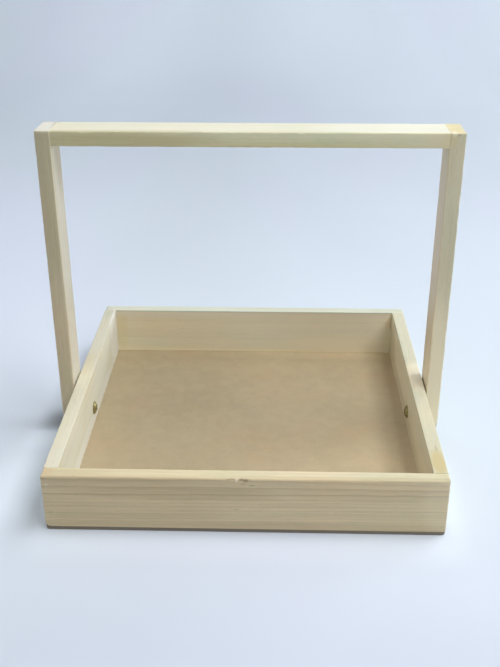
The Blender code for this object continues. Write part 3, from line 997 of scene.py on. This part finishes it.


# What the planks' finishes share, and how each piece's wood departs from it. Each piece's tint is partly
# its own colour and partly painted light and shade, which lightens or darkens the piece to how brightly it
# is lit. The shift picks a place in the pattern of fibres, and the end axis is the one that end grain faces
PLAIN_LOOK = {
    "tint": (1, 1, 1), "warm": 0.7, "cool": 0.7, "late": 0.55, "fibre": 0.05, "streak": 0.035,
    "broad": 0.03, "tone": 0.03, "worn": 0.22, "end_axis": (1, 0, 0), "end_colour": (0.86, 0.78, 0.62),
}
LOOKS = {
    "front_board": {"tint": (1.06, 1.02, 0.89), "shift": ORIGIN, "late": 0.57, "warm": 0.5, "cool": 0.6,
                    "end_colour": (0.84, 0.74, 0.58)},
    "back_board": {"tint": (1.23, 1.24, 1.27), "shift": (0.31, 0.12, 0.07), "late": 0.06, "warm": 0.4,
                   "fibre": 0.028, "streak": 0.010, "broad": 0.02, "tone": 0.02},
    "left_side_board": {"tint": (1.01, 1.09, 1.17), "shift": (1.47, 0.05, 0.02), "late": 0.13,
                        "streak": 0.012, "fibre": 0.035, "end_axis": (0, 1, 0), "worn": 0.0},
    "right_side_board": {"tint": (1.02, 1.03, 1.02), "shift": (1.54, 0.05, 0.02), "late": 0.13,
                         "streak": 0.012, "fibre": 0.035, "end_axis": (0, 1, 0), "worn": 0.0},
    # The left leg's end colour lightens its top end: a painted highlight.
    "left_leg": {"tint": (0.838, 0.805, 0.788), "shift": (2.05, 0.3, 0.2), "late": 0.20, "warm": 0.4,
                 "streak": 0.02, "end_axis": (0, 0, 1), "end_colour": (1.04, 1.08, 1.20)},
    "right_leg": {"tint": (0.952, 0.933, 0.922), "shift": (2.10, 0.3, 0.2), "late": 0.12, "warm": 0.4,
                  "fibre": 0.028, "streak": 0.012, "end_axis": (0, 0, 1),
                  "end_colour": (1.02, 0.96, 0.78)},
    "crossbar": {"tint": (1.03, 1.05, 1.04), "shift": (0.9, 0.4, 0.6), "late": 0.17, "warm": 0.3,
                 "fibre": 0.035, "streak": 0.02, "broad": 0.02, "tone": 0.02},
}

# Kinds of mark on the wood and of painted light and shade on it: name, colour and how it blends. Dark,
# yellow and straw are marks of the wood, as are most pale ones, and one pale mark is a painted highlight.
# The white and cream kinds are painted light and the olive and shade kinds are painted shade. Rose and ash
# are partly the wood's tone and partly painted shade, and tan is partly tone and partly painted light
MARKS_AND_PAINTED_LIGHT = (
    ("dark", (0.26, 0.19, 0.10), "MIX"), ("yellow", (0.80, 0.66, 0.32), "MIX"),
    ("rose_and_painted_shade", (1.0, 0.86, 0.78), "MULTIPLY"), ("pale", (0.88, 0.83, 0.68), "MIX"),
    ("painted_light_white", (0.90, 0.91, 0.86), "MIX"), ("shade", (0.66, 0.62, 0.55), "MULTIPLY"),
    ("painted_shade_olive", (0.96, 0.94, 0.76), "MULTIPLY"), ("ash", (0.72, 0.85, 0.90), "MULTIPLY"),
    ("tan", (0.89, 0.62, 0.41), "MIX"), ("painted_light_cream", (0.98, 0.88, 0.64), "MIX"),
    ("straw", (0.605, 0.51, 0.255), "MIX"),
)

# Where each piece has its marks and its painted light and shade: a centre and a reach in mm, and a strength
FRONT_SPOTS = {
    "dark": (
        # The first five dark spots, round the splintered place, are partly torn fibres and partly painted
        # shade inside it.
        ((-10.0, -150, 47.2), (4.6, 3.0, 0.55), 0.50), ((-2.4, -150, 46.9), (2.4, 3.0, 1.1), 0.62),
        ((0.5, -150, 46.2), (2.6, 3.0, 1.4), 0.62), ((5.4, -150, 42.6), (3.0, 3.0, 0.7), 0.40),
        ((-1.0, -150, 43.6), (3.0, 3.0, 0.8), 0.30),
        ((-6.2, -150, 20.9), (3.0, 3.0, 0.45), 0.35), ((-145.0, -150, 16.0), (2.2, 3.0, 0.7), 0.30),
        ((-148.5, -150, 46.0), (3.5, 3.0, 0.5), 0.45), ((12.0, -150, 20.0), (3.0, 3.0, 0.35), 0.2),
    ),
    "pale": (
        ((-146.2, -150, 40.6), (1.5, 3.0, 1.2), 0.55), ((-5.8, -150, 46.9), (0.8, 3.0, 1.9), 0.95),
        ((2.0, -150, 22.0), (1.6, 3.0, 0.5), 0.25),
    ),
    # Pink at the left front corner, and over the whole face a painted shade that makes it warmer and darker
    # than the top.
    "rose_and_painted_shade": (((-149, -145, 48.3), (9.0, 9.0, 3.0), 0.6), ((0, -150, 22.0), (330.0, 2.0, 60.0), 0.45)),
    # Painted shade: over the whole face and more to its left, at its foot, in a band across it, and on the
    # top's ends and outer edge.
    "shade": (((-95, -150, 28.0), (112.0, 3.0, 42.0), 0.40), ((0, -150, 22.0), (330.0, 2.0, 60.0), 0.15),
              ((-135, -147.5, 48.3), (48, 8, 2.0), 0.32), ((125, -148.5, 48.3), (60, 4, 2.0), 0.42),
              ((0, -149.5, 48.3), (330, 4.6, 1.4), 0.24),
              ((0, -150, 4.5), (330.0, 2.5, 7), 0.42), ((-60, -150, 34), (110, 2.5, 9), 0.60),
              ((90, -150, 35), (90, 2.5, 8), 0.32)),
    # Painted light at the right end of the face.
    "painted_light_cream": (((146, -150, 26), (16, 3, 30), 0.15),),
    # Painted light on the middle of the top.
    "painted_light_white": (((62, -141.5, 48.3), (75, 6, 2), 0.12),),
    # Darker and greyer at the right end of the top: partly painted shade.
    "ash": (((124, -145, 48.3), (62, 14, 2.4), 0.34),),
}
BACK_SPOTS = {
    # Painted light on the inner face: over its right half, in the shade of its lower right corner and along
    # its upper edge.
    "painted_light_white": (((80, 139, 28), (120, 3, 34), 0.26), ((132, 139, 15), (14, 3, 24), 0.45),
              ((0, 139, 46), (400, 3, 7), 0.34)),
    # Painted shade on the top, more at its right end, and a greyer tone over the top that is painted shade
    # too.
    "shade": (((0, 148, 48.3), (400, 15, 2.6), 0.18), ((138, 146, 48.3), (34, 12, 2.6), 0.36)),
    "ash": (((0, 148, 48.3), (400, 15, 2.6), 0.85),),
    # A painted highlight along the foot of the inner face, and painted light low on its right half.
    "painted_light_cream": (((-90, 139, 4.3), (75, 2.0, 1.7), 1.0), ((20, 139, 4.4), (70, 2.0, 1.8), 1.0),
              ((105, 139, 4.0), (40, 2.0, 1.5), 0.6), ((90, 139, 10), (80, 2.5, 16), 0.35)),
    "yellow": (((-134.5, 139, 26), (8, 3, 26), 0.30), ((137, 139, 24), (6, 3, 24), 0.22),
               ((-90, 139, 8), (60, 3, 5), 0.10)),
    "dark": (((138.6, 139, 37), (1.5, 3, 10), 0.65), ((-149.6, 146, 47.0), (1.8, 9, 2.4), 0.35),
             ((-145.5, 139.6, 48.3), (3.2, 1.6, 1.5), 0.30)),
}
BAR_SPOTS = {
    # A painted highlight on the top, stronger to the right, and painted light along the top of the front
    # face.
    "painted_light_white": (((122, 0, 269), (85, 30, 3), 0.34), ((-60, 2, 269), (110, 30, 3), 0.14),
              ((30, -14.5, 267.4), (165, 2.4, 3.8), 0.30)),
    "yellow": (((-95, -14.5, 262), (75, 3, 7), 0.22), ((40, -14.5, 258.6), (110, 3, 2.4), 0.25),
               ((150, -14.5, 262), (5, 3, 7), 0.25)),
    # Painted light at the right end of the front face.
    "tan": (((150, -14.5, 263), (22, 3, 9), 0.25),),
    "painted_light_cream": (((150, -14.5, 264), (95, 3, 11), 0.20),),
    "dark": (((-150.0, 12.6, 269), (1.6, 1.0, 1.2), 0.5),),
    # Painted shade on the front face's left part and its foot, and along the top's front edge.
    "shade": (((-115, -15.0, 262), (112, 2.5, 9), 0.50), ((70, -14.5, 257.6), (130, 2.4, 4.5), 0.16),
              ((-105, -12.5, 269), (90, 3.8, 2), 0.40),
              ((40, -12.5, 269), (70, 3.5, 2), 0.22)),
    # Painted shade that makes the whole front face yellower and darker than the top.
    "painted_shade_olive": (((0, -15.0, 262), (420, 2.5, 30), 0.85),),
}
SIDE_SPOTS = {
    "left_side_board": {
        "yellow": (((-139, 44, 43), (4, 9, 7), 0.18), ((-146, 22, 48.3), (6, 26, 2), 0.22),
                   ((-147.5, -75, 48.3), (3, 42, 2), 0.12)),
        # Painted light on the inner face: over its front and middle, and lifting the shade in its back
        # corner and along its foot.
        "painted_light_white": (((-139, -90, 34), (3, 60, 16), 0.25), ((-139, 60, 28), (3, 110, 26), 0.28),
                  ((-139, 126, 26), (3, 34, 60), 0.90), ((-139, 0, 2), (3, 240, 17), 0.68)),
        # Painted shade on the back half of the top.
        "shade": (((-145, 95, 48.3), (14, 90, 2), 0.30), ((-145, 140, 48.3), (14, 26, 2), 0.42)),
    },
    "right_side_board": {
        "ash": (((144.5, 0, 48.3), (20, 400, 2), 0.34),),
        # Painted light where the right leg's shadow falls on the top.
        "painted_light_cream": (((145.5, 7, 48.3), (14, 30, 2.0), 0.80),),
        # Painted shade on the top's ends, and along the foot of the inner face, most at the back.
        "shade": (((144.5, 105, 48.3), (14, 75, 2.0), 0.24), ((144.5, -105, 48.3), (12, 40, 2.0), 0.10),
                  ((139, 40, 6), (3, 150, 13), 0.32), ((139, 120, 15), (3, 36, 22), 0.46)),
        "straw": (((144.8, -125, 48.3), (7.0, 20, 2.0), 0.88),),
        "dark": (((145.6, -107, 48.3), (0.9, 7, 2.0), 0.30),),
        # Painted light on the front half of the inner face, and on the top where the right leg's shadow
        # falls.
        "painted_light_white": (((139, -60, 36), (3, 100, 14), 0.14), ((148, 9, 48.3), (9, 24, 2.0), 0.95)),
    },
}
LEG_SPOTS = {
    "left_leg": {
        # A painted highlight on the top end, and painted light low down and all over the inner face.
        "painted_light_white": (((-157, 0, 269), (12, 30, 2.5), 0.35), ((-151.5, 0, 45), (2.5, 30, 80), 0.36),
                  ((-151.5, 0, 130), (2.5, 30, 120), 0.14)),
        # A painted highlight along the front inner edge.
        "pale": (((-151.4, -15, 215), (1.0, 1.2, 80), 0.7),),
        # Painted shade on the front face, warmer and darker towards the top, and the crossbar's painted
        # shadow at the top of the inner face.
        "painted_shade_olive": (((-157, -15, 140), (30, 2.5, 420), 0.6),),
        "rose_and_painted_shade": (((-157, -15, 225), (30, 2.5, 90), 0.35),),
        "shade": (((-157, -15, 225), (30, 2.5, 90), 0.10), ((-151.5, 9, 254), (2.5, 17, 46), 0.58)),
        # Tan and painted light on the lower front face.
        "tan": (((-157, -15, 70), (30, 3, 90), 0.24),),
    },
    "right_leg": {
        "yellow": (((154.5, -15, 264), (4.0, 4, 7), 0.30), ((155, 0, 269), (7, 20, 3), 0.15)),
        "pale": (((154.5, -14, 269), (2.4, 5, 3.5), 0.8),),
        # Painted shade that makes the front face yellower and darker.
        "painted_shade_olive": (((157, -15, 140), (30, 2.5, 420), 0.45),),
        # Painted light low on the front and inner faces, and a little near the top of the front.
        "painted_light_cream": (((157, -15, 22), (30, 3, 124), 0.92), ((151.5, -6, 46), (2.5, 16, 46), 0.6),
                  ((160, -15, 240), (4.5, 3, 50), 0.16)),
        # Tan and painted light on the inner face.
        "tan": (((151.5, 0, 90), (2.5, 30, 220), 0.22),),
        "dark": (((158.1, -15, 267.4), (1.2, 2.0, 0.8), 0.5),),
    },
}
SPOTS = {"front_board": FRONT_SPOTS, "back_board": BACK_SPOTS, "crossbar": BAR_SPOTS,
         **SIDE_SPOTS, **LEG_SPOTS}

# Kinds of wooden piece: the end of the mesh's name, its body, its finish slot and its colours
BOARD = ("_plank", "tray", "frame_pine", "early", "late")
STRIP = ("_strip", "handle", "handle_pine", "handle_early", "handle_late")


# Pieces, one operator for each kind


def add_timber(node, kind, surface, rings, grain):
    """Makes a wooden piece with its rings and its own wood, and dresses its node."""
    ending, body, slot, early, late = kind
    points, quads, edges = surface
    number, strength = rings
    look = settings().wood
    material = wood(node + "_pine", grain, getattr(look, early), getattr(look, late),
                    {**PLAIN_LOOK, **LOOKS[node]}, SPOTS[node])
    attributes = {"ring": number, "ring_strength": strength, "edge": edges}
    dress(make_piece(node + ending, points, quads, material, attributes), body, node)


def pivot_point():
    """The middle of the axle that both legs turn on."""
    low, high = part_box("spacer_washer_right")
    return (0, (low.y + high.y) / 2, (low.z + high.z) / 2)


def bore_radius():
    """Radius of the round holes that the pivot screws go through."""
    look = settings().hardware
    return look.shank_radius + look.bore_clearance


def span_of(node):
    """Where a node starts, going outwards along X from the middle, and how long it is."""
    low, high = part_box(node)
    return min(abs(low.x), abs(high.x)), high.x - low.x


class TRAY_OT_end_boards(Operator):
    """Makes the front and back boards, which run the tray's full width"""
    bl_idname = "tray.end_boards"
    bl_label = "Front and Back Boards"

    def execute(self, context):
        look = settings().wood
        front = self.plank(look, "front_board", 11, (1.3 * MM, 0.6 * MM), (0.8, 1.6, 1.0, 4.0))
        front.add_close_lines(0, -20 * MM, 8 * MM, 0.4 * MM)
        points, *rest = front.surface()
        for chip in FRONT_CHIPS:
            points = dent(points, *chip)
        add_timber("front_board", BOARD, (points, *rest), front_rings(points), GRAIN_ALONG_X)
        back = self.plank(look, "back_board", 12, (0.4 * MM, look.board_ease), (0.8, 2.6, 1.0, 1.0))
        back.shave = rounded_top_back
        surface = back.surface()
        rings = plain_rings(surface[0], 0, (110, 78), 5.2 * MM, 0.10, 12)
        add_timber("back_board", BOARD, surface, rings, GRAIN_ALONG_X)
        return {"FINISHED"}

    def plank(self, look, node, seed, top_eases, radii):
        """An end board. Its radii, in mm, are for the upper right and left and the lower corners."""
        plank = Plank(node, ACROSS_THE_FRONT, 2.2 * MM, look.board_ease, seed)
        plank.carry_on(0, 0, GLUE_LINE)
        plank.eases = {1: [look.board_ease, 2 * look.board_ease, look.joint_ease, top_eases[0]],
                       -1: [look.board_ease, look.board_ease, look.joint_ease, top_eases[1]]}
        sides = ((1, 1), (-1, 1), (1, -1), (-1, -1))
        plank.corners = [(radius * MM, side, 0) for radius, side in zip(radii, sides)]
        return plank


class TRAY_OT_side_boards(Operator):
    """Makes the two side boards, each with a bore for its pivot screw"""
    bl_idname = "tray.side_boards"
    bl_label = "Side Boards"

    def execute(self, context):
        look = settings().wood
        for node, side, seed in (("left_side_board", -1, 21), ("right_side_board", 1, 22)):
            plank = Plank(node, ALONG_A_SIDE, 2.2 * MM, look.board_ease, seed)
            plank.carry_on(GLUE_LINE, GLUE_LINE, GLUE_LINE)
            eases = [look.joint_ease] * 3 + [0.5 * look.board_ease]
            plank.eases = {1: eases, -1: eases}
            plank.add_bore(pivot_point(), bore_radius())
            surface = plank.surface()
            rings = plain_rings(surface[0], 1, (side * 185, 18), look.ring_width, 0.05, seed)
            add_timber(node, BOARD, surface, rings, GRAIN_ALONG_Y)
        return {"FINISHED"}


class TRAY_OT_panel(Operator):
    """Makes the hardboard floor, with a seat under it for each tack's head"""
    bl_idname = "tray.panel"
    bl_label = "Floor Panel"

    def execute(self, context):
        look = settings().panel
        plank = Plank("bottom_panel", LYING_FLAT, 3.0 * MM, look.ease, 31)
        plank.bow = 0.05 * MM
        plank.ding_count = 4
        plank.rim_darkens = True
        plank.corners = [(look.corner, (i, j), 0) for i in (1, -1) for j in (1, -1)]
        for node in sorted(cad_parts):
            if node.startswith("panel_tack"):
                low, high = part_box(node)
                plank.add_pit((low + high) / 2, settings().hardware.tack_head, TACK_SEAT_DEPTH, -1)
        points, quads, edges = plank.surface()
        material = hardboard("floor_hardboard", look.face, look.fleck)
        panel = make_piece("floor_panel", points, quads, material, {"edge": edges})
        dress(panel, "tray", "bottom_panel")
        return {"FINISHED"}


def rounded_outer_back(face, a, b, half):
    """Shaves the left leg's outer back edge to a quarter round that grows towards the top."""
    if face == 1:
        return half[2]
    share = smooth_step((b - half[1] + 40 * MM) / (34 * MM))
    return eased(half[0] - a, 0.8 * MM + 5.2 * MM * share, half[2])


def rounded_top_back(face, a, b, half):
    """Shaves the back board's outer upper edge, most of all at its ends."""
    if face == 1:
        return half[2]
    share = 0.6 + 0.4 * (a / half[0]) ** 4 + 0.12 * wave(a, 80 * MM, 77)
    return eased(half[1] - b, 2.6 * MM * share, half[2])


class TRAY_OT_handle(Operator):
    """Makes the handle: two legs that are rounded about the pivot, and the crossbar"""
    bl_idname = "tray.handle"
    bl_label = "Handle"

    def execute(self, context):
        look = settings().wood
        for name, side, seed in (("left", -1, 41), ("right", 1, 42)):
            node = name + "_leg"
            plank = Plank(node, ALONG_A_SIDE, 1.3 * MM, look.leg_ease, seed)
            radius = plank.half[0]
            plank.corners = [(radius, (1, -1), LEG_CORE), (radius, (-1, -1), LEG_CORE),
                             (0.8 * MM, (1, 1), 0), (0.8 * MM, (-1, 1), 0)]
            inner_face = abs(plank.centre[0]) - plank.half[2]
            depth = sum(span_of("pivot_screw_" + name)) + settings().hardware.bore_clearance - inner_face
            plank.add_pit(pivot_point(), bore_radius(), depth, -side)
            plank.wear = 0.4
            if name == "left":
                plank.shave = rounded_outer_back
            surface = plank.surface()
            rings = plain_rings(surface[0], 2, (side * 120, 40), look.ring_width, 0.03, seed)
            add_timber(node, STRIP, surface, rings, GRAIN_ALONG_Z)
        plank = Plank("crossbar", LYING_FLAT, 2.0 * MM, look.leg_ease, 43)
        plank.carry_on(GLUE_LINE, GLUE_LINE, 0)
        plank.eases = {1: [look.joint_ease, look.joint_ease, 1.0 * MM, look.leg_ease],
                       -1: [look.joint_ease, look.joint_ease, look.leg_ease, look.leg_ease]}
        plank.wear = 0.45
        plank.ding_count = 12
        surface = plank.surface()
        rings = plain_rings(surface[0], 0, (30, 215), 2.8 * MM, 0.04, 43)
        add_timber("crossbar", STRIP, surface, rings, GRAIN_ALONG_X)
        return {"FINISHED"}


class TRAY_OT_hardware(Operator):
    """Makes each side's pivot screw and the washer between the board and the leg"""
    bl_idname = "tray.hardware"
    bl_label = "Pivot Hardware"

    def execute(self, context):
        look = settings().hardware
        zinc = metal("yellow_zinc", look.zinc, look.zinc_dull, 0.46)
        height = pivot_point()[2]
        for name, side in (("left", -1), ("right", 1)):
            node = "pivot_screw_" + name
            start, reach = span_of(node)
            points, faces = screw_points(look, reach - look.head_height)
            points = stand_on_axle(points, side, start + look.head_height, height)
            dress(make_piece(node + "_finished", points, faces, zinc), "handle", node)
            node = "spacer_washer_" + name
            low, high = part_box(node)
            start, thickness = span_of(node)
            points, faces = washer_points(bore_radius(), (high.y - low.y) / 2, thickness, WASHER_EASE)
            points = stand_on_axle(points, side, start, height)
            dress(make_piece(node + "_finished", points, faces, zinc), "handle", node)
        return {"FINISHED"}


class TRAY_OT_nails(Operator):
    """Gives the nails and tacks their dull steel"""
    bl_idname = "tray.nails"
    bl_label = "Nails and Tacks"

    def execute(self, context):
        look = settings().hardware
        steel = metal("nail_steel", look.steel, [c * 0.6 for c in look.steel], 0.42)
        for name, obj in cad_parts.items():
            if "nail" in name or "tack" in name:
                obj.data.materials.clear()
                obj.data.materials.append(steel)
        return {"FINISHED"}


class TRAY_OT_stage(Operator):
    """Makes the paper sweep, the lamps and the light from all round"""
    bl_idname = "tray.stage"
    bl_label = "Studio"

    def execute(self, context):
        look = settings().stage
        self.sheet(look)
        for name, place, size, power, tint in LAMPS:
            self.lamp(name, place, size, power * look.level, tint)
        self.sky(context.scene, look)
        context.scene.view_settings.view_transform = "Standard"
        return {"FINISHED"}

    def sky(self, scene, look):
        """Light from the left, as a lobe that falls off with the square of the angle's cosine.

        The camera sees a plain colour instead where it looks past the paper."""
        world = bpy.data.worlds.new("studio")
        tree = empty_tree(world)
        ray = tree.add("TexCoord").outputs["Generated"]
        towards = tree.math("MAXIMUM", tree.measure("DOT_PRODUCT", ray, (-1, 0, 0.09)), 0.0)
        lobe = tree.scaled(tuple(look.left_sky), tree.math("POWER", towards, 2))
        seen = tree.add("LightPath").outputs["Is Camera Ray"]
        light = tree.add("Background", {"Color": tree.mix(seen, lobe, opaque(look.beyond))})
        tree.add("OutputWorld", {"Surface": light.outputs[0]})
        scene.world = world

    def sheet(self, look):
        """A sheet that lies flat, bends up in a quarter round and stands at the back."""
        bend = np.linspace(0, np.pi / 2, 13)
        y = np.concatenate([[SHEET_FRONT, -1.0, 0.0, 0.7], BEND_FROM + BEND_RADIUS * np.sin(bend),
                            [BEND_FROM + BEND_RADIUS]])
        z = np.concatenate([[0, 0, 0, 0], BEND_RADIUS * (1 - np.cos(bend)), [SHEET_TOP]])
        x = np.linspace(-SHEET_HALF, SHEET_HALF, 9)
        grid = np.stack(np.broadcast_arrays(x[:, None], y[None], z[None]), -1)
        quads = grid_quads(*grid.shape[:2]).reshape(-1, 4)
        material = paper("studio_paper", look.paper)
        make_piece("studio_sweep", grid.reshape(-1, 3), quads, material)

    def lamp(self, name, place, size, power, tint):
        """A rectangular lamp that looks at the tray."""
        data = bpy.data.lights.new(name, "AREA")
        data.shape = "RECTANGLE"
        data.size, data.size_y = size
        data.energy = power
        data.color = tint
        lamp = add_object(name, data)
        lamp.location = place
        lamp.rotation_euler = (Vector(place) - Vector(LAMPS_AIM)).to_track_quat("Z", "Y").to_euler()


class TRAY_OT_camera(Operator):
    """Stands the camera where the photograph was taken"""
    bl_idname = "tray.camera"
    bl_label = "Camera"

    def execute(self, context):
        look = settings().camera
        data = bpy.data.cameras.new("camera")
        data.lens = look.lens
        data.sensor_width = 36
        pose = Matrix.Translation(look.place)
        for turn, axis in ((-look.heading, "Z"), (math.pi / 2 - look.tilt, "X"), (look.roll, "Z")):
            pose = pose @ Matrix.Rotation(turn, 4, axis)
        camera = add_object("camera", data)
        camera.matrix_world = pose
        context.scene.camera = camera
        return {"FINISHED"}


STEPS = (TRAY_OT_camera, TRAY_OT_end_boards, TRAY_OT_side_boards, TRAY_OT_panel, TRAY_OT_handle,
         TRAY_OT_hardware, TRAY_OT_nails, TRAY_OT_stage)


class TRAY_PT_steps(Panel):
    """Lists the steps and the settings of the tray"""
    bl_idname = "TRAY_PT_steps"
    bl_label = "Pine Tray"
    bl_space_type = "VIEW_3D"
    bl_region_type = "UI"
    bl_category = "Pine Tray"

    def draw(self, context):
        for step in STEPS:
            self.layout.operator(step.bl_idname)
        for part in ("wood", "panel", "hardware", "stage", "camera"):
            box = self.layout.box()
            box.label(text=part.title())
            group = getattr(context.scene.pine_tray, part)
            for key in group.__annotations__:
                box.prop(group, key)


CLASSES = (TrayWoodSettings, TrayPanelSettings, TrayHardwareSettings, TrayStageSettings,
           TrayCameraSettings, TraySettings, *STEPS, TRAY_PT_steps)


def register():
    for cls in CLASSES:
        bpy.utils.register_class(cls)
    bpy.types.Scene.pine_tray = PointerProperty(type=TraySettings)


def unregister():
    del bpy.types.Scene.pine_tray
    for cls in reversed(CLASSES):
        bpy.utils.unregister_class(cls)


def main():
    """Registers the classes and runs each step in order."""
    register()
    for step in STEPS:
        getattr(bpy.ops.tray, step.bl_idname.split(".")[1])()


if __name__ == "__main__":
    main()
